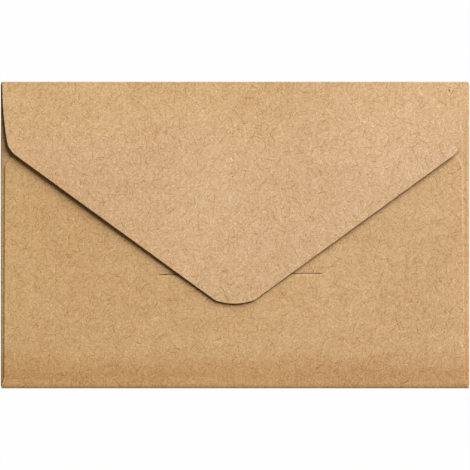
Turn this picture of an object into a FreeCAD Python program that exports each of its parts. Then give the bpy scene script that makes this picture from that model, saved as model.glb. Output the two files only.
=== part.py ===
import FreeCAD, Part
import math
import os

import Sketcher

# A small kraft paper envelope, die-cut from one sheet, folded and glued.
# Millimetres. It lies on its front panel with the top flap upwards: X runs along the long side,
# Y from the bottom fold to the top fold, and Z up through the layers of paper. The origin is at
# the middle of the front panel's outer face.
#
# From the table up, the layers are the front panel, the two side flaps, the back panel, which is
# the folded-up bottom flap and is glued to the side flaps, and the top flap, which lies loose over
# the back panel and crosses its slit.

os.makedirs("parts", exist_ok=True)
doc = FreeCAD.newDocument("PaperEnvelope")

SIZES = {
    # The folded envelope, its paper, and the room inside the pocket
    "envelope_width": 107.0,
    "envelope_height": 70.0,
    "paper": 0.28,
    "pocket_gap": 0.30,
    # The top flap's outline, with its places measured down from the top fold
    "flap_length": 50.68,
    "flap_shoulder_drop": 15.64,
    "flap_side_inset": 0.44,
    "flap_side_radius": 85.0,
    "flap_shoulder_radius": 4.8,
    "flap_tip_chord": 9.0,
    "flap_tip_rise": 0.8,
    "flap_tip_corner_radius": 1.8,
    "flap_shift": -0.09,
    # The gap under the flap at its fold and at its tip, and how far it rises from the fold to its
    # crest, whose place is measured down from the top fold
    "flap_lift": 0.28,
    "flap_crest_rise": 0.46,
    "flap_crest_drop": 17.0,
    "flap_tip_lift": 0.30,
    # The back panel, with its mouth measured down from the top fold
    "mouth_drop": 16.65,
    "mouth_corner_radius": 3.3,
    "back_inset_mouth": 1.34,
    "back_inset_bottom": 0.95,
    "back_flare_rise": 2.6,
    "back_shift_mouth": -0.40,
    "back_shift_bottom": -0.16,
    # The slit for the flap's tip, measured up from the bottom fold, and its turn in degrees
    "slit_rise": 26.07,
    "slit_length": 37.1,
    "slit_width": 0.14,
    "slit_shift": 1.2,
    "slit_turn": 0.45,
    # The glued side flaps, mostly hidden under the back panel
    "side_flap_depth": 14.0,
    "side_flap_taper": 8.0,
    # How far the bottom and top folds stop short of the envelope's corners
    "corner_relief": 0.12,
    # How far a cutting outline reaches past the paper that it trims
    "cut_margin": 4.0,
}

sheet = doc.addObject("Spreadsheet::Sheet", "Sizes")
for row, (alias, size) in enumerate(SIZES.items(), start=1):
    sheet.set(f"A{row}", alias.replace("_", " "))
    sheet.set(f"B{row}", str(size))
    sheet.setAlias(f"B{row}", alias)
doc.recompute()

# What follows from the driving sizes, as expressions of the sheet's cells
RIGHT = "(Sizes.envelope_width / 2)"
LEFT = "(-Sizes.envelope_width / 2)"
TOP = "(Sizes.envelope_height / 2)"
BOTTOM = "(-Sizes.envelope_height / 2)"
PAPER = "Sizes.paper"
MARGIN = "Sizes.cut_margin"

# Heights of the upper faces of the side flaps, of the back panel, and of the top flap at its fold
SIDE_TOP = "(2 * Sizes.paper + Sizes.pocket_gap)"
BACK_TOP = "(3 * Sizes.paper + Sizes.pocket_gap)"
FLAP_TOP = "(4 * Sizes.paper + Sizes.pocket_gap + Sizes.flap_lift)"

# The flat front panel ends where the folds begin, and a fold is as round as its layers are high
FRONT_RIGHT = f"({RIGHT} - {SIDE_TOP} / 2)"
FRONT_LEFT = f"({LEFT} + {SIDE_TOP} / 2)"
FRONT_TOP = f"({TOP} - {FLAP_TOP} / 2)"
FRONT_BOTTOM = f"({BOTTOM} + {BACK_TOP} / 2)"

# What a thing on the right, facing 1, or on the left, facing -1, adds to go outwards or inwards
OUTWARDS = {1: "+", -1: "-"}
INWARDS = {1: "-", -1: "+"}


def number(expression):
    """The value of an expression of the sheet's cells, in millimetres or degrees."""
    value = sheet.evalExpression(expression)
    return float(getattr(value, "Value", value))


def vector(corner):
    return FreeCAD.Vector(number(corner[0]), number(corner[1]), 0)


class Outline:
    """A sketch on one of the body's own origin planes, raised off it by an expression.

    Corners and centres are pairs of expressions, which become dimensions from the sketch's axes.
    Ends of edges are numbered as in a sketch: 1 its start, 2 its end and 3 its centre.
    """

    def __init__(self, body, name, role, lift="0"):
        self.sketch = body.newObject("Sketcher::SketchObject", name)
        plane = next(f for f in body.Origin.OriginFeatures if f.Role == role)
        self.sketch.AttachmentSupport = (plane, [""])
        self.sketch.MapMode = "FlatFace"
        self.sketch.setExpression("AttachmentOffset.Base.z", lift)
        self.sizes = 0

    def constrain(self, kind, *where):
        return self.sketch.addConstraint(Sketcher.Constraint(kind, *where))

    def dimension(self, kind, *where, size):
        """A driving dimension, bound to an expression."""
        index = self.constrain(kind, *where, number(size))
        self.sizes += 1
        name = f"size{self.sizes}"
        self.sketch.renameConstraint(index, name)
        self.sketch.setExpression(f"Constraints.{name}", size)

    def across(self, edge, end, size):
        self.dimension("DistanceX", -1, 1, edge, end, size=size)

    def up(self, edge, end, size):
        self.dimension("DistanceY", -1, 1, edge, end, size=size)

    def join(self, edge, end, other, other_end):
        self.constrain("Coincident", edge, end, other, other_end)

    def line(self, start, end):
        return self.sketch.addGeometry(Part.LineSegment(vector(start), vector(end)))

    def arc(self, facing, centre, radius, low, high):
        """An arc from the angle low to high in degrees, or its mirror image for a facing of -1.

        Gives the arc and the numbers of its two ends.
        """
        if facing < 0:
            low, high = 180 - high, 180 - low
        circle = Part.Circle(vector(centre), FreeCAD.Vector(0, 0, 1), number(radius))
        arc = Part.ArcOfCircle(circle, math.radians(low), math.radians(high))
        ends = (1, 2) if facing > 0 else (2, 1)
        return self.sketch.addGeometry(arc), *ends

    def placed_arc(self, facing, centre, radius, low, high):
        """The same with its centre and radius dimensioned."""
        edge, *ends = self.arc(facing, centre, radius, low, high)
        self.across(edge, 3, centre[0])
        self.up(edge, 3, centre[1])
        self.dimension("Radius", edge, size=radius)
        return edge, *ends

    def polygon(self, corners):
        """Straight edges through dimensioned corners."""
        edges = [self.line(a, b) for a, b in zip(corners, corners[1:] + corners[:1])]
        for edge, following, corner in zip(edges, edges[1:] + edges[:1], corners):
            self.join(edge, 2, following, 1)
            self.across(edge, 1, corner[0])
            self.up(edge, 1, corner[1])
        return edges

    def rectangle(self, left, low, right, high):
        self.polygon([(left, low), (right, low), (right, high), (left, high)])

    def round_corner(self, edge, other, radius):
        """Rounds the corner where two edges meet. The corner itself stays dimensioned."""
        middles = []
        for curve in (self.sketch.Geometry[edge], self.sketch.Geometry[other]):
            middles.append(curve.value((curve.FirstParameter + curve.LastParameter) / 2))
        rounding = self.sketch.GeometryCount
        self.sketch.fillet(edge, other, *middles, number(radius), True, True)
        self.dimension("Radius", rounding, size=radius)


def checked(feature, adds_paper):
    """Makes sure that a feature adds or takes away paper, as it should."""
    doc.recompute()
    before = feature.BaseFeature.Shape.Volume if feature.BaseFeature else 0.0
    change = feature.Shape.Volume - before
    if (change > 0) != adds_paper or abs(change) < 1e-6:
        raise RuntimeError(f"{feature.Name} changes the volume by {change:.4f} mm3")
    print(f"{feature.Name}: {change:+.3f} mm3")


def pad(body, name, outline, length, back_length=None):
    """A pad along the normal of the sketch's plane, and by back_length the other way."""
    feature = body.newObject("PartDesign::Pad", name)
    feature.Profile = outline.sketch
    feature.Type = "Length"
    feature.setExpression("Length", length)
    if back_length:
        feature.SideType = "Two sides"
        feature.setExpression("Length2", back_length)
    checked(feature, adds_paper=True)


def cut_above(body, name, outline):
    """Cuts away all that the outline covers above its own plane."""
    feature = body.newObject("PartDesign::Pocket", name)
    feature.Profile = outline.sketch
    feature.Type = "ThroughAll"
    feature.Reversed = True
    checked(feature, adds_paper=False)


def frame_around(outline):
    """The outer edge of a cut that leaves only what an inner outline holds."""
    outline.rectangle(
        f"{LEFT} - {MARGIN}", f"{BOTTOM} - {MARGIN}", f"{RIGHT} + {MARGIN}", f"{TOP} + {MARGIN}"
    )


def folded_strip(outline, facing, edge, top, reach, crest=None, bow=None, bow_reach=None):
    """Draws the section of a fold and of the strip that it turns back over the front panel.

    edge is the outermost place of the fold, top the height of the strip's upper face there, and
    reach where the level strip ends. With a crest the strip rises to that height at its reach, and
    then bends down by the radius of its bow to bow_reach.
    """
    radius = f"({top} / 2)"
    centre = (f"({edge} {INWARDS[facing]} {radius})", radius)
    under = f"({top} - {PAPER})"
    outer, low, high = outline.placed_arc(facing, centre, radius, -90, 90)
    inner, low, high = outline.placed_arc(facing, centre, f"{radius} - {PAPER}", -90, 90)
    for fold in (outer, inner):
        outline.constrain("Vertical", fold, low, fold, 3)
        outline.constrain("Vertical", fold, high, fold, 3)
    crest_under = f"({crest or top} - {PAPER})"
    upper = outline.line((centre[0], top), (reach, crest or top))
    lower = outline.line((reach, crest_under), (centre[0], under))
    foot = outline.line((centre[0], PAPER), (centre[0], "0"))
    outline.join(outer, high, upper, 1)
    outline.join(lower, 2, inner, high)
    outline.join(inner, low, foot, 1)
    outline.join(foot, 2, outer, low)
    outline.across(upper, 2, reach)
    if not crest:
        outline.constrain("Horizontal", upper)
        outline.constrain("Horizontal", lower)
        rim = outline.line((reach, top), (reach, under))
        outline.join(upper, 2, rim, 1)
        outline.join(rim, 2, lower, 1)
        outline.constrain("Vertical", rim)
        return
    outline.up(upper, 2, crest)
    bow_centre = (reach, f"{crest} - {bow}")
    bend = math.degrees(math.asin((number(reach) - number(bow_reach)) / number(bow)))
    above, *_ = outline.arc(1, bow_centre, bow, 90, 90 + bend)
    below, *_ = outline.arc(1, bow_centre, f"{bow} - {PAPER}", 90, 90 + bend)
    outline.dimension("Radius", above, size=bow)
    outline.dimension("Radius", below, size=f"{bow} - {PAPER}")
    outline.join(above, 3, below, 3)
    for bent, level, end in ((above, upper, 2), (below, lower, 1)):
        outline.join(level, end, bent, 1)
        outline.constrain("Vertical", bent, 1, bent, 3)
    rim = outline.line((bow_reach, top), (bow_reach, under))
    outline.join(above, 2, rim, 1)
    outline.join(rim, 2, below, 2)
    outline.constrain("Vertical", rim)
    outline.across(rim, 1, bow_reach)


envelope = doc.addObject("PartDesign::Body", "envelope")
envelope.Label = "envelope"
envelope.Placement = FreeCAD.Placement()

# Front panel, face down on the table
front = Outline(envelope, "FrontOutline", "XY_Plane")
front.rectangle(FRONT_LEFT, FRONT_BOTTOM, FRONT_RIGHT, FRONT_TOP)
pad(envelope, "FrontPanel", front, PAPER)

# Side folds and side flaps, between the bottom fold and the top fold
for name, facing, edge in (("Left", -1, LEFT), ("Right", 1, RIGHT)):
    side_section = Outline(envelope, f"{name}SideSection", "XZ_Plane")
    free_edge = f"{edge} {INWARDS[facing]} Sizes.side_flap_depth"
    folded_strip(side_section, facing, edge, SIDE_TOP, free_edge)
    pad(envelope, f"{name}SideFlap", side_section, f"-{FRONT_BOTTOM}", FRONT_TOP)

# The slanted ends of the side flaps, cut from beside the fold to just past the flap's free edge
side_ends = Outline(envelope, "SideFlapEnds", "XY_Plane", lift=f"{PAPER} + Sizes.pocket_gap / 2")
slant = f"(Sizes.side_flap_taper / (Sizes.side_flap_depth - {SIDE_TOP}))"
depth_past = f"(Sizes.side_flap_depth + {MARGIN})"
for facing, edge in ((-1, LEFT), (1, RIGHT)):
    beside_fold = f"{edge} {INWARDS[facing]} {SIDE_TOP}"
    past_edge = f"{edge} {INWARDS[facing]} {depth_past}"
    for up_or_down, end in ((-1, FRONT_BOTTOM), (1, FRONT_TOP)):
        beyond = f"{end} {OUTWARDS[up_or_down]} {MARGIN}"
        back = f"{end} {INWARDS[up_or_down]} {slant} * ({depth_past} - {SIDE_TOP})"
        side_ends.polygon(
            [(beside_fold, end), (beside_fold, beyond), (past_edge, beyond), (past_edge, back)]
        )
cut_above(envelope, "SideFlapTrim", side_ends)

# Bottom fold and back panel, glued face to face onto the side flaps
half_fold = f"({RIGHT} - Sizes.corner_relief)"
mouth = f"({TOP} - Sizes.mouth_drop)"
back_section = Outline(envelope, "BackSection", "YZ_Plane")
folded_strip(back_section, -1, BOTTOM, BACK_TOP, mouth)
pad(envelope, "BackPanel", back_section, half_fold, half_fold)

# The back panel's own outline: it flares to the corners at the fold and narrows to its mouth
back_outline = Outline(envelope, "BackOutline", "XY_Plane", lift=SIDE_TOP)
frame_around(back_outline)
half_at_bottom = f"({RIGHT} - Sizes.back_inset_bottom)"
half_at_mouth = f"({RIGHT} - Sizes.back_inset_mouth)"
below_fold = f"{BOTTOM} - {MARGIN} / 2"
flare_end = f"{BOTTOM} + Sizes.back_flare_rise"
edges = back_outline.polygon(
    [
        (LEFT, below_fold),
        (RIGHT, below_fold),
        (RIGHT, FRONT_BOTTOM),
        (f"Sizes.back_shift_bottom + {half_at_bottom}", flare_end),
        (f"Sizes.back_shift_mouth + {half_at_mouth}", mouth),
        (f"Sizes.back_shift_mouth - {half_at_mouth}", mouth),
        (f"Sizes.back_shift_bottom - {half_at_bottom}", flare_end),
        (LEFT, FRONT_BOTTOM),
    ]
)
right_edge, mouth_edge, left_edge = edges[3:6]
back_outline.round_corner(right_edge, mouth_edge, "Sizes.mouth_corner_radius")
back_outline.round_corner(mouth_edge, left_edge, "Sizes.mouth_corner_radius")
cut_above(envelope, "BackTrim", back_outline)

# The slit, drawn about its own middle and turned a little in the back panel
slit = Outline(envelope, "SlitOutline", "XY_Plane", lift=SIDE_TOP)
slit.sketch.setExpression("AttachmentOffset.Base.x", "Sizes.slit_shift")
slit.sketch.setExpression("AttachmentOffset.Base.y", f"{BOTTOM} + Sizes.slit_rise")
slit.sketch.setExpression("AttachmentOffset.Rotation.Angle", "Sizes.slit_turn")
half_slit, half_gap = "Sizes.slit_length / 2", "Sizes.slit_width / 2"
slit.rectangle(f"-{half_slit}", f"-{half_gap}", half_slit, half_gap)
cut_above(envelope, "Slit", slit)

# Top fold and flap. The flap springs up from its fold to a low crest, then bows down until its tip
# nearly meets the back panel
tip = f"({TOP} - Sizes.flap_length)"
crest_place = f"({TOP} - Sizes.flap_crest_drop)"
crest_top = f"({FLAP_TOP} + Sizes.flap_crest_rise)"
bow_run = "(Sizes.flap_length - Sizes.flap_crest_drop)"
bow_drop = "(Sizes.flap_lift + Sizes.flap_crest_rise - Sizes.flap_tip_lift)"
bow_radius = f"(({bow_run}^2 + {bow_drop}^2) / (2 * {bow_drop}))"
flap_section = Outline(envelope, "FlapSection", "YZ_Plane")
past_tip = f"({tip} - {PAPER})"
folded_strip(flap_section, 1, TOP, FLAP_TOP, crest_place, crest_top, bow_radius, past_tip)
pad(envelope, "TopFlap", flap_section, half_fold, half_fold)

# The flap's own outline: slightly curved sides, round shoulders and a blunt round tip
under_flap = f"{BACK_TOP} + Sizes.flap_tip_lift / 2"
flap_outline = Outline(envelope, "FlapOutline", "XY_Plane", lift=under_flap)
frame_around(flap_outline)
shift = "Sizes.flap_shift"
half_flap = f"({RIGHT} - Sizes.flap_side_inset)"
side_radius = "Sizes.flap_side_radius"
side_run = "Sizes.flap_shoulder_drop"
shoulder_inset = f"({side_radius} - sqrt({side_radius}^2 - {side_run}^2))"
half_chord = "(Sizes.flap_tip_chord / 2)"
tip_radius = f"(({half_chord}^2 + Sizes.flap_tip_rise^2) / (2 * Sizes.flap_tip_rise))"
tip_half_angle = math.degrees(math.asin(number(half_chord) / number(tip_radius)))
side_angle = math.degrees(math.asin(number(side_run) / number(side_radius)))
shoulder_height = f"{TOP} - {side_run}"
chord_height = f"{tip} + Sizes.flap_tip_rise"
above_fold = f"{TOP} + {MARGIN} / 2"
tip_edge, left_end, right_end = flap_outline.placed_arc(
    1, (shift, f"{tip} + {tip_radius}"), tip_radius, -90 - tip_half_angle, -90 + tip_half_angle
)
risers = []
for facing, tip_end in ((1, right_end), (-1, left_end)):
    out, back = OUTWARDS[facing], INWARDS[facing]
    side_place = f"{shift} {out} {half_flap}"
    centre = (f"{side_place} {back} {side_radius}", TOP)
    side, low, high = flap_outline.placed_arc(facing, centre, side_radius, -side_angle, 0)
    flap_outline.constrain("Horizontal", side, high, side, 3)
    slanted = flap_outline.line(
        (f"{shift} {out} {half_chord}", chord_height),
        (f"{shift} {out} ({half_flap} - {shoulder_inset})", shoulder_height),
    )
    flap_outline.join(slanted, 1, tip_edge, tip_end)
    flap_outline.join(slanted, 2, side, low)
    flap_outline.up(slanted, 1, chord_height)
    flap_outline.up(slanted, 2, shoulder_height)
    riser = flap_outline.line((side_place, TOP), (side_place, above_fold))
    flap_outline.join(riser, 1, side, high)
    flap_outline.constrain("Vertical", riser)
    flap_outline.up(riser, 2, above_fold)
    flap_outline.round_corner(side, slanted, "Sizes.flap_shoulder_radius")
    flap_outline.round_corner(slanted, tip_edge, "Sizes.flap_tip_corner_radius")
    risers.append(riser)
lid = flap_outline.line(
    (f"{shift} + {half_flap}", above_fold), (f"{shift} - {half_flap}", above_fold)
)
flap_outline.join(risers[0], 2, lid, 1)
flap_outline.join(risers[1], 2, lid, 2)
cut_above(envelope, "FlapTrim", flap_outline)

# Every object has to be sound, and the envelope one valid solid, before it is written
doc.recompute()
for thing in doc.Objects:
    if "Invalid" in thing.State or "Error" in thing.State:
        raise RuntimeError(f"{thing.Name} failed: {thing.State}")
shape = envelope.Shape
if shape.isNull() or not shape.isValid() or len(shape.Solids) != 1:
    raise RuntimeError("the envelope isn't one valid solid")
print(f"envelope: {shape.Volume:.3f} mm3, {shape.BoundBox}")
shape.exportStep(f"parts/{envelope.Label}.step")
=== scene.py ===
# %% [markdown]
# A small kraft paper envelope. It is a gift card envelope, 107 x 70 mm, that lies on its front
# with its flap down over the slit in its back. It is one sheet of brown kraft paper: a die cuts
# the blank out, a machine creases and folds it, and glue holds the back to the side flaps.
# This lesson makes it in the same order, because then every panel, fold and fibre stays on one
# sheet: blank, outline, creases, folds, thickness, and at last the look of the paper.

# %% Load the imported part
import math

import bmesh
import bpy
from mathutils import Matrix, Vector, noise


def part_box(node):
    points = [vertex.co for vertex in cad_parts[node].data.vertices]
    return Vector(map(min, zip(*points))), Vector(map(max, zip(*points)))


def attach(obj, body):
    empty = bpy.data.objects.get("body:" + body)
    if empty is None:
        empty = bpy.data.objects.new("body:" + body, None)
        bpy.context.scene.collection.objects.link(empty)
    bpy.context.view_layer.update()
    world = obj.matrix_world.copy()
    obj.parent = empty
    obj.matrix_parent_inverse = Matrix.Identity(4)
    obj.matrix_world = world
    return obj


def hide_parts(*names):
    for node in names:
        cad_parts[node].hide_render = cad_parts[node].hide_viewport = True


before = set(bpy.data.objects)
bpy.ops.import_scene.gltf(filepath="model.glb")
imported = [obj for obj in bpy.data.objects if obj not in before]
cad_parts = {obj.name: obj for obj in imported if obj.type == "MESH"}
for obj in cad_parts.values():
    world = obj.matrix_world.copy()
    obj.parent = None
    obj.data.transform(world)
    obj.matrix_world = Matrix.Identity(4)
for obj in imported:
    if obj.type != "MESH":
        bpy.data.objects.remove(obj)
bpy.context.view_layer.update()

low_corner, high_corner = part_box("envelope")
print("the packed envelope reaches from", low_corner[:], "to", high_corner[:])

# %% [markdown]
# Sizes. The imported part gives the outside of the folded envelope, so only the paper's own sizes
# are repeated here. Everything is in metres. A folded sheet is easiest to build as the layer in
# the middle of its thickness, so each panel is known by the height of that layer: front panel,
# side flaps, back panel and top flap, from the table up.

# %% Sizes of the paper and heights of its layers
MM = 0.001
RIGHT, TOP = high_corner.x, high_corner.y
PAPER = 0.28 * MM
POCKET_GAP = 0.30 * MM
FLAP_LIFT = 0.28 * MM

FRONT_LEVEL = PAPER / 2
SIDE_LEVEL = FRONT_LEVEL + PAPER + POCKET_GAP
BACK_LEVEL = SIDE_LEVEL + PAPER
FLAP_LEVEL = BACK_LEVEL + PAPER + FLAP_LIFT
CREST_RISE = high_corner.z - PAPER / 2 - FLAP_LEVEL
print("the flap springs up by", round(CREST_RISE / MM, 2), "mm over its fold")

# %% [markdown]
# Folds. Heavy paper can't turn in no space: each fold is a half circle, as wide as the height
# between the two panels that it joins. A crease can be cut into the flat sheet as a few narrow
# strips, which then turn one after the other by the same small angle. Twelve strips of 15
# degrees look round even at the edge of the picture. The lines that part them come first.

# %% Crease lines in the flat blank
FOLD_STRIPS = 12
FOLD_TURN = math.pi / FOLD_STRIPS


def crease_lines(edge, level):
    """Where a fold's crease lines lie in the flat blank, measured outwards from the middle.

    edge is how far out the fold reaches once it is folded, and level the upper panel's height.
    """
    radius = (level - FRONT_LEVEL) / 2
    centre = edge - PAPER / 2 - radius
    strip = 2 * radius * math.tan(FOLD_TURN / 2)
    return [centre + strip / 2 + number * strip for number in range(FOLD_STRIPS)]


def unfolded(place, lines):
    """Where a place on a folded panel lies in the flat blank, both measured outwards."""
    return lines[0] + lines[-1] - place


side_lines = crease_lines(RIGHT, SIDE_LEVEL)
bottom_lines = crease_lines(TOP, BACK_LEVEL)
top_lines = crease_lines(TOP, FLAP_LEVEL)
for name, lines in (("side", side_lines), ("bottom", bottom_lines), ("top", top_lines)):
    print(name, "fold takes", round((lines[-1] - lines[0]) / MM, 2), "mm of the flat sheet")

# %% [markdown]
# Working by hand in code. Every tool of edit mode acts on what is selected, so each step first
# selects faces, edges or vertices by where they are. These helpers do that, and name the two
# tools used most: bisect, which cuts straight across like a steel rule, and extrude, which
# draws a panel out of an edge.

# %% Helpers for edit mode
CLOSE = 0.001 * MM
NEAR = 10 * CLOSE


def pick(kind, test):
    """Selects just the verts, edges or faces whose middle passes a test."""
    sheet_mesh = bpy.context.object.data
    bpy.ops.mesh.select_all(action="DESELECT")
    bpy.ops.mesh.select_mode(type=kind)
    mesh = bmesh.from_edit_mesh(sheet_mesh)
    parts = {"VERT": mesh.verts, "EDGE": mesh.edges, "FACE": mesh.faces}[kind]
    for part in parts:
        corners = [part] if kind == "VERT" else part.verts
        middle = sum((corner.co for corner in corners), Vector()) / len(corners)
        part.select_set(bool(test(middle)))
    mesh.select_flush_mode()
    bmesh.update_edit_mesh(sheet_mesh)


def cut(place, normal):
    """Cuts the selected faces along a line through a place, at right angles to a normal."""
    bpy.ops.mesh.bisect(plane_co=(*place, 0), plane_no=Vector((*normal, 0)).normalized(),
                        threshold=CLOSE / 10)


def trim(test, place, normal):
    """Cuts the faces that pass a test, and deletes those on the normal's side of the line.

    Bisect's own clearing would also take the faces beside them, which share their corners.
    """
    pick("FACE", test)
    cut(place, normal)
    pick("FACE", lambda at: test(at) and (at.xy - Vector(place)).dot(Vector(normal)) > 0)
    bpy.ops.mesh.delete(type="FACE")


def draw_out(move):
    """Extrudes the selected edges and moves the new ones."""
    bpy.ops.mesh.extrude_region_move(TRANSFORM_OT_translate={"value": move})


# %% [markdown]
# The blank. The front panel is the middle of the sheet. The other panels hang on its edges: two
# side flaps, the long bottom flap that becomes the back, and the top flap. The bottom and top
# flaps are a hair wider than the front's flat part, because they close over the round side
# folds, so four small ears are drawn out at the corners first, with a notch beside each.

# %% Front panel and corner ears
EAR_LENGTH = 0.25 * MM
NOTCH = 0.04 * MM
HALF_FOLD = RIGHT - 0.12 * MM

bpy.ops.object.select_all(action="DESELECT")
bpy.ops.mesh.primitive_plane_add(size=2 * side_lines[0], location=(0, 0, FRONT_LEVEL))
sheet = bpy.context.object
sheet.name = sheet.data.name = "kraft_sheet"
bpy.ops.object.transform_apply(location=True, rotation=True, scale=True)
bpy.ops.object.mode_set(mode="EDIT")
pick("EDGE", lambda at: at.y > side_lines[0] - CLOSE)
bpy.ops.transform.translate(value=(0, top_lines[0] - side_lines[0], 0))
pick("EDGE", lambda at: at.y < CLOSE - side_lines[0])
bpy.ops.transform.translate(value=(0, side_lines[0] - bottom_lines[0], 0))

ear_top, ear_bottom = top_lines[0] - EAR_LENGTH, -bottom_lines[0] + EAR_LENGTH
side_top, side_bottom = ear_top - NOTCH, ear_bottom + NOTCH
for height in (ear_top, side_top, side_bottom, ear_bottom):
    bpy.ops.mesh.select_all(action="SELECT")
    cut((0, height), (0, 1))
for facing in (1, -1):
    pick("EDGE", lambda at: at.x * facing > side_lines[0] - CLOSE
         and not ear_bottom < at.y < ear_top)
    draw_out(((HALF_FOLD - side_lines[0]) * facing, 0, 0))
pick("EDGE", lambda at: abs(abs(at.x) - side_lines[0]) < CLOSE
     and not ear_bottom < at.y < ear_top)
bpy.ops.mesh.dissolve_edges(use_verts=True)
print("front panel:", len(bmesh.from_edit_mesh(sheet.data).faces), "faces before its flaps")

# %% Side flaps, with slanted ends that keep clear of the corners
SIDE_FLAP_DEPTH = 14.0 * MM
SIDE_FLAP_TAPER = 8.0 * MM

taper_start = unfolded(RIGHT - 2 * SIDE_LEVEL, side_lines)
free_edge = unfolded(RIGHT - SIDE_FLAP_DEPTH, side_lines)
side_length = side_top - side_bottom
for facing in (1, -1):
    pick("EDGE", lambda at: at.x * facing > side_lines[0] - CLOSE
         and side_bottom < at.y < side_top)
    draw_out(((taper_start - side_lines[0]) * facing, 0, 0))
    draw_out(((free_edge - taper_start) * facing, 0, 0))
    bpy.ops.transform.resize(
        value=(1, 1 - 2 * SIDE_FLAP_TAPER / side_length, 1),
        center_override=(0, (side_top + side_bottom) / 2, 0),
    )
print("side flaps reach", round(free_edge / MM, 1), "mm out in the flat blank")

# %% Bottom flap and top flap, still with straight sides
MOUTH = TOP - 16.65 * MM
TIP = TOP - 50.68 * MM

flat_mouth = unfolded(-MOUTH, bottom_lines)
flat_tip = unfolded(TIP, top_lines)
pick("EDGE", lambda at: at.y < CLOSE - bottom_lines[0])
draw_out((0, bottom_lines[0] - flat_mouth, 0))
pick("EDGE", lambda at: at.y > top_lines[0] - CLOSE)
draw_out((0, flat_tip - top_lines[0], 0))
print("blank:", round((flat_tip + flat_mouth) / MM, 1), "x", round(2 * free_edge / MM, 1), "mm")

# %% [markdown]
# Creases. Each fold gets its twelve parallel lines now, while the sheet is flat. The side folds
# are cut only across the side flaps, and the other two only cross their own flaps anyway.

# %% Cut the crease lines
for line in side_lines:
    for facing in (1, -1):
        pick("FACE", lambda at: at.x * facing > side_lines[0]
             and side_bottom < at.y < side_top)
        cut((line * facing, 0), (1, 0))
for line in top_lines:
    bpy.ops.mesh.select_all(action="SELECT")
    cut((0, line), (0, 1))
for line in bottom_lines:
    bpy.ops.mesh.select_all(action="SELECT")
    cut((0, -line), (0, 1))
print("creased blank:", len(bmesh.from_edit_mesh(sheet.data).faces), "faces")

# %% [markdown]
# The top flap's outline. On the real envelope a curved steel rule cuts it: sides that lean in a
# little, round shoulders, two straight slanted edges and a blunt round tip. The outline is
# convex, so it can be trimmed by one straight cut after another, each clearing what lies
# outside. The sharp corners that are left get rounded by a bevel of their vertices.

# %% Trim the top flap
FLAP_SHIFT = -0.09 * MM
HALF_FLAP = RIGHT - 0.44 * MM
SIDE_RADIUS = 85.0 * MM
SHOULDER_DROP = 15.64 * MM
HALF_TIP = 4.5 * MM
TIP_RISE = 0.8 * MM
SHOULDER_RADIUS = 4.8 * MM
TIP_CORNER_RADIUS = 1.8 * MM
SIDE_CUTS, TIP_CUTS, ROUND_CUTS = 4, 8, 8

fold_drop = TOP - top_lines[0]
half_outline = []
for number in range(SIDE_CUTS + 1):
    drop = fold_drop + (SHOULDER_DROP - fold_drop) * number / SIDE_CUTS
    lean = SIDE_RADIUS - math.sqrt(SIDE_RADIUS**2 - drop**2)
    half_outline.append((HALF_FLAP - lean, TOP - drop))
tip_radius = (HALF_TIP**2 + TIP_RISE**2) / (2 * TIP_RISE)
tip_angle = math.asin(HALF_TIP / tip_radius)
for number in range(TIP_CUTS // 2 + 1):
    angle = tip_angle * (1 - 2 * number / TIP_CUTS)
    half_outline.append((tip_radius * math.sin(angle),
                         TIP + tip_radius * (1 - math.cos(angle))))
flat_outline = [(x, unfolded(y, top_lines)) for x, y in half_outline]
for facing in (1, -1):
    for (x, y), (next_x, next_y) in zip(flat_outline, flat_outline[1:]):
        outwards = ((next_y - y) * facing, x - next_x)
        trim(lambda at: at.y > top_lines[-1], (x * facing + FLAP_SHIFT, y), outwards)
    fold_side = min(flat_outline[0][0] + FLAP_SHIFT * facing, HALF_FOLD)
    trim(lambda at: top_lines[0] < at.y < top_lines[-1], (HALF_FOLD * facing, top_lines[0]),
         ((top_lines[-1] - top_lines[0]) * facing, HALF_FOLD - fold_side))

# %% Round the flap's four corners
shoulder, tip_corner = flat_outline[SIDE_CUTS:SIDE_CUTS + 2]


def heading(start, end):
    return math.atan2(end[1] - start[1], end[0] - start[0])


side_heading = heading(flat_outline[SIDE_CUTS - 1], shoulder)
slant_heading = heading(shoulder, tip_corner)
tip_heading = heading(tip_corner, flat_outline[SIDE_CUTS + 2])
for corner, turn, radius in ((shoulder, slant_heading - side_heading, SHOULDER_RADIUS),
                             (tip_corner, tip_heading - slant_heading, TIP_CORNER_RADIUS)):
    for facing in (1, -1):
        place = Vector((corner[0] * facing + FLAP_SHIFT, corner[1], FRONT_LEVEL))
        pick("VERT", lambda at: (at - place).length < NEAR)
        bpy.ops.mesh.bevel(offset=radius * math.tan(turn / 2), segments=ROUND_CUTS,
                           affect="VERTICES")
    print("corner rounded by", round(math.degrees(turn), 1), "degrees")

# %% [markdown]
# The back panel. It flares out to the corners beside the bottom fold, then its sides lean in a
# little up to the mouth, whose corners are round. The flare makes the outline hollow, so its
# two parts are trimmed apart: a cut acts only on the faces that are picked.

# %% Trim the back panel
LOW_SHIFT = -0.16 * MM
MOUTH_SHIFT = -0.40 * MM
HALF_BACK_LOW = RIGHT - 0.95 * MM
HALF_BACK_MOUTH = RIGHT - 1.34 * MM
FLARE_END = -TOP + 2.6 * MM
MOUTH_CORNER_RADIUS = 3.3 * MM

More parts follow.
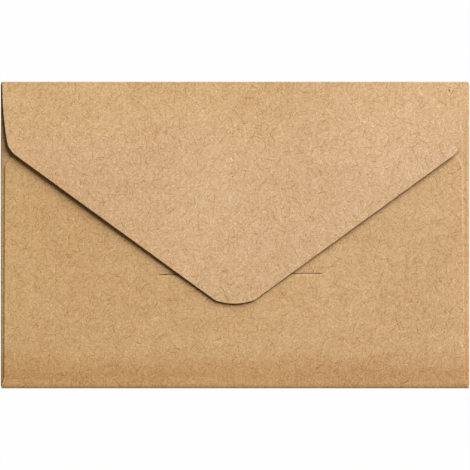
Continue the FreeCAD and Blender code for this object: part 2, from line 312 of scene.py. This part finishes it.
flat_flare = -unfolded(-FLARE_END, bottom_lines)
pick("FACE", lambda at: at.y < -bottom_lines[-1])
cut((0, flat_flare), (0, 1))
for facing in (1, -1):
    low_side = HALF_BACK_LOW * facing + LOW_SHIFT
    mouth_side = HALF_BACK_MOUTH * facing + MOUTH_SHIFT
    flare = (bottom_lines[-1] + flat_flare, HALF_FOLD * facing - low_side)
    trim(lambda at: flat_flare < at.y < -bottom_lines[-1], (low_side, flat_flare),
         (-flare[0] * facing, -flare[1] * facing))
    lean = (flat_mouth + flat_flare, low_side - mouth_side)
    trim(lambda at: at.y < flat_flare, (low_side, flat_flare),
         (lean[0] * facing, -lean[1] * facing))
    mouth_corner = Vector((mouth_side, -flat_mouth, FRONT_LEVEL))
    pick("VERT", lambda at: (at - mouth_corner).length < NEAR)
    bpy.ops.mesh.bevel(offset=MOUTH_CORNER_RADIUS, segments=ROUND_CUTS, affect="VERTICES")
print("back panel trimmed:", len(bmesh.from_edit_mesh(sheet.data).faces), "faces")

# %% [markdown]
# The slit. The flap's tip tucks into it when the envelope is closed for good. The real one is a
# plain cut whose lips have come apart a little. Four cuts mark it out in the back panel, turned
# half a degree as the photo shows, and the narrow face between them is deleted. A few more cuts
# beside it let the lips bend later.

# %% Cut the slit
SLIT_RISE = 26.07 * MM
SLIT_LENGTH = 37.1 * MM
SLIT_WIDTH = 0.14 * MM
SLIT_SHIFT = 1.2 * MM
SLIT_TURN = math.radians(0.45)
LIP_LINES = (0.35 * MM, 0.6 * MM, 1.0 * MM, 1.6 * MM)

slit_middle = Vector((SLIT_SHIFT, -unfolded(TOP - SLIT_RISE, bottom_lines)))
along = Vector((math.cos(SLIT_TURN), -math.sin(SLIT_TURN)))
across = Vector((math.sin(SLIT_TURN), math.cos(SLIT_TURN)))


def from_slit(at):
    """How far a place in the flat blank lies along the slit and across it, from its middle."""
    return (at.xy - slit_middle).dot(along), (at.xy - slit_middle).dot(across)


for facing in (1, -1):
    pick("FACE", lambda at: at.y < flat_flare)
    cut(slit_middle + along * SLIT_LENGTH / 2 * facing, along)
for facing in (1, -1):
    pick("FACE", lambda at: at.y < flat_flare and abs(from_slit(at)[0]) < SLIT_LENGTH / 2)
    cut(slit_middle + across * SLIT_WIDTH / 2 * facing, across)
pick("FACE", lambda at: abs(from_slit(at)[0]) < SLIT_LENGTH / 2
     and abs(from_slit(at)[1]) < SLIT_WIDTH / 2)
bpy.ops.mesh.delete(type="FACE")
for facing in (1, -1):
    for distance in LIP_LINES:
        pick("FACE", lambda at: at.y < flat_flare and abs(from_slit(at)[0]) < SLIT_LENGTH / 2)
        cut(slit_middle + across * distance * facing, across)
print("blank with its slit:", len(bmesh.from_edit_mesh(sheet.data).faces), "faces")

# %% [markdown]
# Border and grid. A die presses the paper's cut edge a little round, so three narrow strips are
# inset along every edge. The outer two will thin out to the rim later, and the third keeps the
# face flat beside them. Then the whole sheet is cut into a grid of one millimetre, so that it
# can curl and cockle as paper does. The lines keep out of the folds, which have their own.

# %% Inset the border, cut the grid
BORDER_STRIP = 0.03 * MM
BORDER_STRIPS = 3
GRID = 1.0 * MM

bpy.ops.mesh.select_mode(type="FACE")
bpy.ops.mesh.select_all(action="SELECT")
bpy.ops.mesh.remove_doubles(threshold=2 * CLOSE)
for strip in range(BORDER_STRIPS):
    bpy.ops.mesh.inset(thickness=BORDER_STRIP, use_boundary=True, use_even_offset=True)
for number in range(-int(free_edge / GRID), int(free_edge / GRID) + 1):
    x = (number + 0.5) * GRID
    if abs(x) < side_lines[0] - CLOSE or abs(x) > side_lines[-1] + CLOSE:
        bpy.ops.mesh.select_all(action="SELECT")
        cut((x, 0), (1, 0))
for number in range(-int(flat_mouth / GRID), int(flat_tip / GRID) + 1):
    y = (number + 0.5) * GRID
    if not (top_lines[0] < y < top_lines[-1] or bottom_lines[0] < -y < bottom_lines[-1]):
        bpy.ops.mesh.select_all(action="SELECT")
        cut((0, y), (0, 1))
bpy.ops.object.mode_set(mode="OBJECT")
print("gridded blank:", len(sheet.data.vertices), "vertices,", len(sheet.data.polygons), "faces")

# %% [markdown]
# The paper's own map. Fibres, clouds and specks belong to the sheet, so they must run round the
# folds without a break. The flat blank is the perfect map for that: each corner's place in it,
# in metres, becomes the UV map that all patterns read later. It is kept now, before folding.

# %% Map the flat blank
blank_map = sheet.data.uv_layers.new(name="blank")
flat = [vertex.co.copy() for vertex in sheet.data.vertices]
for loop in sheet.data.loops:
    blank_map.data[loop.index].uv = flat[loop.vertex_index].xy
edge_uses = {}
for polygon in sheet.data.polygons:
    for key in polygon.edge_keys:
        edge_uses[key] = edge_uses.get(key, 0) + 1
rim_edges = [key for key, uses in edge_uses.items() if uses == 1]
rim_vertices = {corner for key in rim_edges for corner in key}
print("rim:", len(rim_vertices), "vertices on the cut edge")

# %% [markdown]
# Folding. The side flaps turn in first, then the bottom flap closes over them, and the top flap
# comes down last, as on the machine. Everything beyond a crease line turns by 15 degrees about
# that line, line after line, and the pivot moves on along the strips that are already turned.
# Without a window Blender turns the other way, which the signs allow for.

# %% Fold the side flaps, the bottom flap and the top flap


def fold_over(lines, outwards, axis, turn, belongs):
    """Turns what lies beyond each crease line a little further, until it lies face down.

    outwards points from the middle of the front panel to the fold.
    """
    strip = lines[1] - lines[0]
    pivot = outwards * lines[0] + Vector((0, 0, FRONT_LEVEL))
    for number, line in enumerate(lines, start=1):
        bpy.ops.mesh.select_all(action="DESELECT")
        mesh = bmesh.from_edit_mesh(sheet.data)
        for vertex, place in zip(mesh.verts, flat):
            beyond = place.dot(outwards) > line + CLOSE
            vertex.select_set(beyond and belongs(place))
        mesh.select_flush_mode()
        bmesh.update_edit_mesh(sheet.data)
        bpy.ops.transform.rotate(value=turn, orient_axis=axis, orient_type="GLOBAL",
                                 center_override=pivot)
        angle = number * FOLD_TURN
        pivot += outwards * strip * math.cos(angle) + Vector((0, 0, strip * math.sin(angle)))


bpy.ops.object.mode_set(mode="EDIT")
bpy.ops.mesh.select_mode(type="VERT")
X_AXIS, Y_AXIS = Vector((1, 0, 0)), Vector((0, 1, 0))


def on_side_flap(place):
    return side_bottom - CLOSE < place.y < side_top + CLOSE


fold_over(side_lines, X_AXIS, "Y", FOLD_TURN, on_side_flap)
fold_over(side_lines, -X_AXIS, "Y", -FOLD_TURN, on_side_flap)
fold_over(bottom_lines, -Y_AXIS, "X", FOLD_TURN, lambda place: True)
fold_over(top_lines, Y_AXIS, "X", -FOLD_TURN, lambda place: True)
bpy.ops.mesh.select_all(action="SELECT")
bpy.ops.mesh.normals_make_consistent(inside=False)
bpy.ops.object.mode_set(mode="OBJECT")
heights = [vertex.co.z / MM for vertex in sheet.data.vertices]
print("folded sheet lies from", round(min(heights), 3), "to", round(max(heights), 3), "mm")

# %% [markdown]
# Pressed folds. Rollers press a real fold flatter than a half circle: its outer face stands
# upright and meets the two panels in tight bends, each as tight as the paper is thick. So every
# row of a fold moves out along this squarer path. The five strips in the middle stand upright,
# the others share the two bends, and the paper beside them gives way over two millimetres.

# %% Press the folds
BEND_RADIUS = 0.15 * MM
UPRIGHT_TURN = 2.5 * FOLD_TURN
GIVE = 2.0 * MM


def pressed(place, height, edge, level):
    """Where a point ends up, outwards and in height, when the fold at an edge is pressed."""
    radius = (level - FRONT_LEVEL) / 2
    middle = FRONT_LEVEL + radius
    outermost = edge - PAPER / 2
    upright = radius - BEND_RADIUS
    past = place - (outermost - radius)
    if past < 0:
        return place + upright * max(1 + past / GIVE, 0.0), height
    angle = math.atan2(height - middle, past)
    if abs(angle) < UPRIGHT_TURN:
        return outermost, middle + upright * angle / UPRIGHT_TURN
    turn = (abs(angle) - UPRIGHT_TURN) / (1 - 2 * UPRIGHT_TURN / math.pi)
    out = outermost - BEND_RADIUS * (1 - math.cos(turn))
    return out, middle + math.copysign(upright + BEND_RADIUS * math.sin(turn), angle)


for vertex, place in zip(sheet.data.vertices, flat):
    at = vertex.co
    if -bottom_lines[0] < place.y < top_lines[0]:
        out, at.z = pressed(abs(at.x), at.z, RIGHT, SIDE_LEVEL)
        at.x = math.copysign(out, at.x)
    if at.y > 0:
        at.y, at.z = pressed(at.y, at.z, TOP, FLAP_LEVEL)
    else:
        out, at.z = pressed(-at.y, at.z, TOP, BACK_LEVEL)
        at.y = -out
print("each fold is pressed to bends of", round((BEND_RADIUS + PAPER / 2) / MM, 2), "mm outside")

# %% [markdown]
# How the paper lies. The flap springs up from its fold to a low crest, and bows down from there
# to its tip, which nearly meets the back. The slit's lips are bent a little inwards, as they are
# once a tip has been tucked in. Besides, no sheet of paper is quite flat: the glue's damp
# cockles the back, and the flap has waves of its own. Each is a small move of the vertices by a
# smooth function of their place, fading out towards the folds.

# %% Let the flap spring up and the paper cockle
CREST_DROP = 17.0 * MM
TIP_LIFT = 0.30 * MM
COCKLE_LENGTH = 26.0 * MM
COCKLE_HEIGHT = 0.07 * MM
FLAP_WAVE_HEIGHT = 0.06 * MM
BACK_SEED, FLAP_SEED = 2.1, 7.3
LIP_SINK = 0.17 * MM
LIP_REACH = 0.5 * MM
LIP_POWER = 8
SETTLE = 8.0 * MM

crest = TOP - CREST_DROP
rise_start = TOP - PAPER / 2 - BEND_RADIUS
bow_drop = FLAP_LIFT + CREST_RISE - TIP_LIFT
bow_run = crest - TIP
bow_radius = (bow_run**2 + bow_drop**2) / (2 * bow_drop)


def sprung(y):
    """How high a place on the flap rises over the level of its fold."""
    if y > crest:
        share = max(rise_start - y, 0.0) / (rise_start - crest)
        return CREST_RISE * math.sin(share * math.pi / 2)
    return CREST_RISE - bow_radius + math.sqrt(bow_radius**2 - (crest - y) ** 2)


def wave(place, seed):
    """A smooth random wave over the folded envelope, from about -1 to 1."""
    return noise.noise(Vector((place.x / COCKLE_LENGTH, place.y / COCKLE_LENGTH, seed)))


def fading(distance):
    """Rises smoothly from 0 at a fold to 1 further in."""
    share = min(max(distance / SETTLE, 0.0), 1.0)
    return share * share * (3 - 2 * share)


for vertex, place in zip(sheet.data.vertices, flat):
    at = vertex.co
    inside = fading(RIGHT - abs(at.x))
    if place.y > top_lines[-1]:
        own = (wave(at, FLAP_SEED) - 1) / 2 * FLAP_WAVE_HEIGHT
        at.z += own * fading(TOP - at.y) * fading(at.y - TIP) + sprung(at.y)
    elif place.y < -bottom_lines[-1] or abs(place.x) > side_lines[-1]:
        at.z += wave(at, BACK_SEED) * COCKLE_HEIGHT * fading(at.y + TOP) * inside
    if place.y < -bottom_lines[-1]:
        down_slit, up_slit = from_slit(place)
        from_ends = 1 - (2 * down_slit / SLIT_LENGTH) ** LIP_POWER
        if from_ends > 0:
            at.z -= LIP_SINK * from_ends * math.exp(-abs(up_slit) / LIP_REACH)
print("from its crest the flap comes down by", round(bow_drop / MM, 2), "mm")

# %% [markdown]
# Thickness. Solidify gives the middle layer its 0.28 mm, half to each side. A vertex group thins
# it at the border, so that the cut edge comes out round. The rim takes a second material slot,
# because the cut shows the inside of the paper. Shading is smooth, and sharp at the rim.

# %% Give the sheet its thickness
RIM_SHARE = 0.65
SHOULDER_SHARE = 0.90
SHOULDER_REACH = 1.5 * BORDER_STRIP
SHARP_FROM = math.radians(50)

thickness = sheet.vertex_groups.new(name="thickness")
next_to_rim = set()
for edge in sheet.data.edges:
    touching = [corner in rim_vertices for corner in edge.vertices]
    length = (flat[edge.vertices[0]] - flat[edge.vertices[1]]).length
    if sum(touching) == 1 and length < SHOULDER_REACH:
        next_to_rim.add(edge.vertices[touching.index(False)])
others = set(range(len(flat))) - rim_vertices - next_to_rim
thickness.add(sorted(rim_vertices), RIM_SHARE, "REPLACE")
thickness.add(sorted(next_to_rim), SHOULDER_SHARE, "REPLACE")
thickness.add(sorted(others), 1.0, "REPLACE")

solidify = sheet.modifiers.new("paper", "SOLIDIFY")
solidify.thickness = PAPER
solidify.offset = 0
solidify.vertex_group = thickness.name
solidify.material_offset_rim = 1
bpy.ops.object.select_all(action="DESELECT")
sheet.select_set(True)
bpy.context.view_layer.objects.active = sheet
sheet.data.materials.append(bpy.data.materials.new("unbleached_kraft"))
sheet.data.materials.append(bpy.data.materials.new("cut_kraft_edge"))
bpy.ops.object.modifier_apply(modifier=solidify.name)
bpy.ops.object.shade_smooth_by_angle(angle=SHARP_FROM)
triangles = sum(len(polygon.vertices) - 2 for polygon in sheet.data.polygons)
print("sheet:", len(sheet.data.polygons), "faces,", triangles, "triangles")

# %% [markdown]
# Materials are networks of nodes. One helper adds a node, sets its properties and sockets and
# links its inputs. Colours are written as sRGB hex values, as read off a screen, while Blender
# calculates in linear light, so a second helper turns them.

# %% Helpers for materials


def linear(hex_colour):
    """An sRGB hex colour as linear red, green, blue and alpha."""
    parts = [int(hex_colour[n:n + 2], 16) / 255 for n in (1, 3, 5)]
    return (*[p / 12.92 if p <= 0.04045 else ((p + 0.055) / 1.055) ** 2.4 for p in parts], 1)


def add(tree, kind, sockets=None, **settings):
    """Adds a node. Sockets are given by name or number, each with a value or an output."""
    node = tree.nodes.new(kind)
    for name, value in settings.items():
        setattr(node, name, value)
    for name, value in (sockets or {}).items():
        if isinstance(value, bpy.types.NodeSocket):
            tree.links.new(value, node.inputs[name])
        else:
            node.inputs[name].default_value = value
    return node


# %% [markdown]
# Kraft paper. It is made of unbleached softwood pulp, laid down wet on a moving wire: brown, a
# little cloudy, full of curly fibres two or three millimetres long, with dark specks of bark.
# Real fibres are only 0.03 mm wide, too fine for the picture, so they are drawn 0.13 mm wide and
# faint, and no longer than what shows of one between the others. Each fibre sits in a cell of a
# Voronoi pattern, which gives it a place, a turn and a curve of its own, and several patterns of
# cells lie over each other. All of it only moves one number, the tone, between the colour of a
# dark fibre and that of a light one.

# %% Kraft paper: clouds and grain
CURL_LENGTH = 2.6 * MM
CURL = 1.1 * MM
CLOUDS = (
    # Length in mm, detail and strength
    (24.0, 2.0, 0.26),
    (3.2, 3.0, 0.28),
    (0.9, 2.0, 0.25),
    (0.34, 3.0, 0.95),
)

paper = sheet.data.materials["unbleached_kraft"]
paper.use_nodes = True
tree = paper.node_tree
tree.nodes.clear()
place = add(tree, "ShaderNodeUVMap", uv_map="blank").outputs["UV"]
bend = add(tree, "ShaderNodeTexNoise", {"Vector": place, "Scale": 1 / CURL_LENGTH, "Detail": 1.0},
           noise_dimensions="2D").outputs["Color"]
bend = add(tree, "ShaderNodeVectorMath", {0: bend, 1: (0.5, 0.5, 0.5)},
           operation="SUBTRACT").outputs[0]
bend = add(tree, "ShaderNodeVectorMath", {0: bend, "Scale": CURL}, operation="SCALE").outputs[0]
curly = add(tree, "ShaderNodeVectorMath", {0: place, 1: bend}, operation="ADD").outputs[0]

tone = 0.5 - sum(strength for *_, strength in CLOUDS) / 2
for length, detail, strength in CLOUDS:
    cloud = add(tree, "ShaderNodeTexNoise",
                {"Vector": place, "Scale": 1 / (length * MM), "Detail": detail},
                noise_dimensions="2D").outputs["Fac"]
    tone = add(tree, "ShaderNodeMath", {0: cloud, 1: strength, 2: tone},
               operation="MULTIPLY_ADD").outputs[0]
print("clouds and grain:", len(CLOUDS), "layers, from", CLOUDS[0][0], "to", CLOUDS[-1][0], "mm")

# %% Kraft paper: one pattern of fibres
FIBRE_WIDTH = 0.13 * MM
SOLID_WIDTH, SOFT_WIDTH = 0.25, 0.8
SOLID_LENGTH = 0.6


def fibres(cell, half, curve, start, width=FIBRE_WIDTH):
    """A pattern of curved fibres, from 0 between them to 1 on the strongest.

    A fibre is full in the solid shares of its width and half length, and soft beyond them.
    """
    here = add(tree, "ShaderNodeVectorMath", {0: curly, 1: start}, operation="ADD").outputs[0]
    cells = add(tree, "ShaderNodeTexVoronoi",
                {"Vector": here, "Scale": 1 / (cell * MM), "Randomness": 1.0},
                voronoi_dimensions="2D")
    chance = add(tree, "ShaderNodeSeparateColor", {"Color": cells.outputs["Color"]})
    offset = add(tree, "ShaderNodeVectorMath", {0: here, 1: cells.outputs["Position"]},
                 operation="SUBTRACT").outputs[0]
    angle = add(tree, "ShaderNodeMath", {0: chance.outputs[0], 1: math.tau},
                operation="MULTIPLY").outputs[0]
    turned = add(tree, "ShaderNodeVectorRotate", {"Vector": offset, "Angle": angle},
                 rotation_type="Z_AXIS").outputs[0]
    sides = add(tree, "ShaderNodeSeparateXYZ", {0: turned})
    square = add(tree, "ShaderNodeMath", {0: sides.outputs["X"], 1: sides.outputs["X"]},
                 operation="MULTIPLY").outputs[0]
    bow = add(tree, "ShaderNodeMapRange", {0: chance.outputs[1], 3: -curve, 4: curve}).outputs[0]
    beside = add(tree, "ShaderNodeMath", {0: square, 1: bow, 2: sides.outputs["Y"]},
                 operation="MULTIPLY_ADD").outputs[0]
    beside = add(tree, "ShaderNodeMath", {0: beside}, operation="ABSOLUTE").outputs[0]
    ahead = add(tree, "ShaderNodeMath", {0: sides.outputs["X"]}, operation="ABSOLUTE").outputs[0]
    body = add(tree, "ShaderNodeMapRange",
               {0: beside, 1: width * SOLID_WIDTH, 2: width * SOFT_WIDTH, 3: 1.0, 4: 0.0},
               interpolation_type="SMOOTHSTEP").outputs[0]
    ends = add(tree, "ShaderNodeMapRange",
               {0: ahead, 1: half * SOLID_LENGTH * MM, 2: half * MM, 3: chance.outputs[2], 4: 0.0},
               interpolation_type="SMOOTHSTEP").outputs[0]
    return add(tree, "ShaderNodeMath", {0: body, 1: ends}, operation="MULTIPLY").outputs[0]


# %% Kraft paper: layers of fibres
FIBRE_LAYERS = (
    # Cell size and half length in mm, curve, strength, and where the pattern starts
    (2.1, 1.25, 300, 0.32, (0.013, 0.021, 0)),
    (1.5, 0.85, 380, -0.22, (0.171, 0.107, 0)),
    (1.7, 0.95, 340, 0.29, (0.311, 0.415, 0)),
    (1.2, 0.70, 440, -0.22, (0.529, 0.263, 0)),
    (1.3, 0.80, 460, 0.29, (0.737, 0.691, 0)),
    (1.1, 0.65, 520, -0.22, (0.853, 0.577, 0)),
    (1.0, 0.60, 560, 0.26, (0.437, 0.191, 0)),
    (0.9, 0.52, 600, -0.22, (0.653, 0.877, 0)),
)
for cell, half, curve, strength, start in FIBRE_LAYERS:
    layer = fibres(cell, half, curve, start)
    tone = add(tree, "ShaderNodeMath", {0: layer, 1: strength, 2: tone},
               operation="MULTIPLY_ADD").outputs[0]
print("fibres:", len(FIBRE_LAYERS), "layers, up to", 2 * FIBRE_LAYERS[0][1], "mm long")

# %% [markdown]
# Colour. The tone runs from the brown of a dark fibre to that of a light one. Here and there a
# long fibre still holds its lignin, the wood's own glue, and stays orange: three more patterns,
# drawn a little finer, tint the paper with those. Bark leaves a small dark speck every
# centimetre or so, in less than a third of the cells of its own pattern.

# %% Kraft paper: colour, orange fibres and specks
PAPER_DARK = "#B88F63"
PAPER_LIGHT = "#EECEAA"
ORANGE_FIBRE = "#DFC690"
ORANGE_WIDTH = 0.10 * MM
ORANGE_LAYERS = (
    # Cell size and half length in mm, curve, and where the pattern starts
    (2.7, 1.70, 260, (0.217, 0.917, 0)),
    (2.2, 1.35, 340, (0.617, 0.037, 0)),
    (1.8, 1.10, 420, (0.097, 0.567, 0)),
)
SPECK_COLOUR = "#84603A"
SPECK_CELL = 7.0 * MM
# Share of cells without a speck, radius of the largest in cells, and the solid share of it
CELLS_WITHOUT = 0.7
LARGEST_SPECK = 0.028
SOLID_SPECK = 0.4

colour = add(tree, "ShaderNodeMix",
             {0: tone, 6: linear(PAPER_DARK), 7: linear(PAPER_LIGHT)},
             data_type="RGBA", clamp_factor=False).outputs[2]
for cell, half, curve, start in ORANGE_LAYERS:
    orange = fibres(cell, half, curve, start, ORANGE_WIDTH)
    colour = add(tree, "ShaderNodeMix", {0: orange, 6: colour, 7: linear(ORANGE_FIBRE)},
                 data_type="RGBA", blend_type="MULTIPLY").outputs[2]
specks = add(tree, "ShaderNodeTexVoronoi",
             {"Vector": curly, "Scale": 1 / SPECK_CELL, "Randomness": 1.0},
             voronoi_dimensions="2D")
rare = add(tree, "ShaderNodeSeparateColor", {"Color": specks.outputs["Color"]})
size = add(tree, "ShaderNodeMapRange",
           {0: rare.outputs[0], 1: CELLS_WITHOUT, 2: 1.0, 3: 0.0, 4: LARGEST_SPECK}).outputs[0]
inner = add(tree, "ShaderNodeMath", {0: size, 1: SOLID_SPECK}, operation="MULTIPLY").outputs[0]
speck = add(tree, "ShaderNodeMapRange",
            {0: specks.outputs["Distance"], 1: inner, 2: size, 3: 1.0, 4: 0.0},
            interpolation_type="SMOOTHSTEP").outputs[0]
colour = add(tree, "ShaderNodeMix", {0: speck, 6: colour, 7: linear(SPECK_COLOUR)},
             data_type="RGBA").outputs[2]
speck_area = (SPECK_CELL / MM) ** 2 / (1 - CELLS_WITHOUT)
print("specks: about one to every", round(speck_area), "square mm of paper")

# %% [markdown]
# Painted shade. The colour is painted darker and warmer on the back panel and towards the left,
# as shade where the light falls off, and darker along the folds, as shade that also dims the
# highlights where the folds and the rising flap turn to the light. Each painted shade is a band
# across the flat blank that multiplies the colour. A fold's band is strongest at some distance
# from the fold's middle and fades out over its width. The bottom and top folds have theirs on
# both sides, the side folds only beyond them, on the strips that show.

# %% Kraft paper: painted shade on the back, towards the left and along the folds
# Painted shade: the back panel darker and warmer than the flap, and the sheet darker towards its
# left, as where the light falls off.
PAINTED_SHADE_ON_BACK = "#F5F0E2"
PAINTED_SHADE_TO_LEFT = "#FAF7EC"
# Painted shade along the folds: a broad band darkens the flap where it rises towards the light,
# and narrow bands dim the pressed folds' highlights and darken the back beside the bottom fold.
PAINTED_FOLD_SHADES = (
    # Fold, distance from its middle and width in mm, and shade
    ("bottom", 3.2, 5.6, "#EFE5D8"),
    ("top", 0.0, 18.0, "#F8F5E9"),
    ("top", 0.0, 1.5, "#D2CDC4"),
    ("side", 0.8, 0.9, "#EFEBE6"),
)

sheet_place = add(tree, "ShaderNodeSeparateXYZ", {0: place})
across_sheet, up_sheet = sheet_place.outputs["X"], sheet_place.outputs["Y"]
out_sheet = add(tree, "ShaderNodeMath", {0: across_sheet}, operation="ABSOLUTE").outputs[0]
folds = {"bottom": (up_sheet, -(bottom_lines[0] + bottom_lines[-1]) / 2),
         "top": (up_sheet, (top_lines[0] + top_lines[-1]) / 2),
         "side": (out_sheet, (side_lines[0] + side_lines[-1]) / 2)}
# Each painted shade is a distance, where the shade is full, where it has faded out, and the shade.
bands = [(up_sheet, -TOP, TOP, PAINTED_SHADE_ON_BACK), (across_sheet, -RIGHT, RIGHT, PAINTED_SHADE_TO_LEFT)]
for fold, distance, width, shade in PAINTED_FOLD_SHADES:
    across_fold, middle = folds[fold]
    away = add(tree, "ShaderNodeMath", {0: across_fold, 1: middle},
               operation="SUBTRACT").outputs[0]
    if fold != "side":
        away = add(tree, "ShaderNodeMath", {0: away}, operation="ABSOLUTE").outputs[0]
    away = add(tree, "ShaderNodeMath", {0: away, 1: distance * MM},
               operation="SUBTRACT").outputs[0]
    away = add(tree, "ShaderNodeMath", {0: away}, operation="ABSOLUTE").outputs[0]
    bands.append((away, 0.0, width * MM, shade))
for away, full, faded, shade in bands:
    share = add(tree, "ShaderNodeMapRange", {0: away, 1: full, 2: faded, 3: 1.0, 4: 0.0})
    colour = add(tree, "ShaderNodeMix", {0: share.outputs[0], 6: colour, 7: linear(shade)},
                 data_type="RGBA", blend_type="MULTIPLY").outputs[2]
# Every band counted here is painted shade, and the folds' marks are the painted shade along the
# folds.
print("shades:", len(bands), "bands, of which", len(PAINTED_FOLD_SHADES), "are the folds' marks")

# %% Kraft paper: roughness and bump
DARK_TONE, LIGHT_TONE = 0.2, 0.8
DARK_ROUGHNESS, LIGHT_ROUGHNESS = 0.93, 0.84
RELIEF = 0.03 * MM
RELIEF_STRENGTH = 0.22

roughness = add(tree, "ShaderNodeMapRange",
                {0: tone, 1: DARK_TONE, 2: LIGHT_TONE,
                 3: DARK_ROUGHNESS, 4: LIGHT_ROUGHNESS}).outputs[0]
relief = add(tree, "ShaderNodeBump",
             {"Height": tone, "Strength": RELIEF_STRENGTH, "Distance": RELIEF})
surface = add(tree, "ShaderNodeBsdfPrincipled",
              {"Base Color": colour, "Roughness": roughness, "Normal": relief.outputs[0],
               "IOR": 1.5, "Specular IOR Level": 0.3})
add(tree, "ShaderNodeOutputMaterial", {"Surface": surface.outputs[0]})
print("kraft paper:", len(tree.nodes), "nodes")

# %% [markdown]
# The cut edge. The die opens the sheet's inside: torn fibre ends, lighter and rougher than its
# pressed faces. It is only 0.28 mm high, so a fine noise on the piece's own coordinates does.

# %% Cut edge
EDGE_DARK = "#D2A878"
EDGE_LIGHT = "#FBE2BC"
EDGE_GRAIN = 0.25 * MM
EDGE_ROUGHNESS = 0.9
EDGE_RELIEF_STRENGTH = 0.5

cut_edge = sheet.data.materials["cut_kraft_edge"]
cut_edge.use_nodes = True
tree = cut_edge.node_tree
tree.nodes.clear()
place = add(tree, "ShaderNodeTexCoord").outputs["Object"]
torn = add(tree, "ShaderNodeTexNoise",
           {"Vector": place, "Scale": 1 / EDGE_GRAIN, "Detail": 2.0}).outputs[0]
colour = add(tree, "ShaderNodeMix", {0: torn, 6: linear(EDGE_DARK), 7: linear(EDGE_LIGHT)},
             data_type="RGBA").outputs[2]
roughness = add(tree, "ShaderNodeMapRange", {0: torn, 3: EDGE_ROUGHNESS, 4: 1.0}).outputs[0]
relief = add(tree, "ShaderNodeBump",
             {"Height": torn, "Strength": EDGE_RELIEF_STRENGTH, "Distance": RELIEF})
surface = add(tree, "ShaderNodeBsdfPrincipled",
              {"Base Color": colour, "Roughness": roughness, "Normal": relief.outputs[0],
               "IOR": 1.5, "Specular IOR Level": 0.2})
add(tree, "ShaderNodeOutputMaterial", {"Surface": surface.outputs[0]})
print("cut edge:", len(tree.nodes), "nodes")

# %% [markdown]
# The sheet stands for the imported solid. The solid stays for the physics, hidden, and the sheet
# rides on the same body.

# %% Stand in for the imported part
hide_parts("envelope")
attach(sheet, "root")
print(sheet.name, "stands for the packed envelope")

# %% [markdown]
# The studio. The photo shows the envelope from straight above on pure white, lit softly from
# the upper right. The floor is white for the camera, with a faint shadow left in it, but lights
# the object only as a pale floor does.

# %% Floor
FLOOR_SIZE = 6.0
FLOOR_COLOUR = "#A8A8A8"
SHOWN_WHITE = 0.985

bpy.ops.object.select_all(action="DESELECT")
bpy.ops.mesh.primitive_plane_add(size=FLOOR_SIZE, location=(0, 0, 0))
floor = bpy.context.object
floor.name = "pale_floor"
floor.data.materials.append(bpy.data.materials.new("pale_floor"))
floor.data.materials[0].use_nodes = True
tree = floor.data.materials[0].node_tree
tree.nodes.clear()
matt = add(tree, "ShaderNodeBsdfPrincipled",
           {"Base Color": linear(FLOOR_COLOUR), "Roughness": 0.9})
white = add(tree, "ShaderNodeEmission", {"Color": (1, 1, 1, 1), "Strength": 1.0})
rays = add(tree, "ShaderNodeLightPath")
seen = add(tree, "ShaderNodeMath",
           {0: rays.outputs["Is Camera Ray"], 1: rays.outputs["Is Glossy Ray"]},
           operation="MAXIMUM").outputs[0]
share = add(tree, "ShaderNodeMath", {0: seen, 1: SHOWN_WHITE}, operation="MULTIPLY").outputs[0]
both = add(tree, "ShaderNodeMixShader", {0: share, 1: matt.outputs[0], 2: white.outputs[0]})
add(tree, "ShaderNodeOutputMaterial", {"Surface": both.outputs[0]})
print("floor:", FLOOR_SIZE, "m wide, with the envelope in its middle")

# %% Lights
AMBIENT = 0.12
AMBIENT_COLOUR = "#FFEDD2"
KEY = 1.065
KEY_DISTANCE = 2.6
KEY_SIZE = 2.3
KEY_AZIMUTH = math.radians(56)
KEY_ELEVATION = math.radians(33)

world = bpy.data.worlds.new("studio")
bpy.context.scene.world = world
world.use_nodes = True
tree = world.node_tree
tree.nodes.clear()
seen = add(tree, "ShaderNodeLightPath").outputs["Is Camera Ray"]
strength = add(tree, "ShaderNodeMapRange", {0: seen, 3: AMBIENT, 4: 1.0}).outputs[0]
sky_colour = add(tree, "ShaderNodeMix", {0: seen, 6: linear(AMBIENT_COLOUR), 7: (1, 1, 1, 1)},
                 data_type="RGBA").outputs[2]
sky = add(tree, "ShaderNodeBackground", {"Color": sky_colour, "Strength": strength})
add(tree, "ShaderNodeOutputWorld", {"Surface": sky.outputs[0]})

# KEY is how bright a white surface on the table looks under this lamp alone.
key_data = bpy.data.lights.new("key_softbox", "AREA")
key_data.shape = "DISK"
key_data.size = KEY_SIZE
key_data.energy = KEY * math.pi**2 * KEY_DISTANCE**2 / math.sin(KEY_ELEVATION)
key = bpy.data.objects.new("key_softbox", key_data)
bpy.context.scene.collection.objects.link(key)
towards = Vector((math.cos(KEY_AZIMUTH) * math.cos(KEY_ELEVATION),
                  math.sin(KEY_AZIMUTH) * math.cos(KEY_ELEVATION), math.sin(KEY_ELEVATION)))
key.location = towards * KEY_DISTANCE
key.rotation_euler = towards.to_track_quat("Z", "Y").to_euler()
print("key light:", round(key_data.energy, 1), "W")

# %% Camera
LENS = 400.0
SENSOR = 36.0
PIXEL = 0.22826 * MM
IMAGE_SIZE = 470

camera_data = bpy.data.cameras.new("camera")
camera_data.lens = LENS
camera_data.sensor_width = SENSOR
camera_data.clip_end = 20.0
camera = bpy.data.objects.new("camera", camera_data)
bpy.context.scene.collection.objects.link(camera)
camera.location = (0, 0, BACK_LEVEL + PIXEL * IMAGE_SIZE * LENS / SENSOR)
bpy.context.scene.camera = camera
bpy.context.scene.view_settings.view_transform = "Standard"
print("camera:", round(camera.location.z, 3), "m above the table")
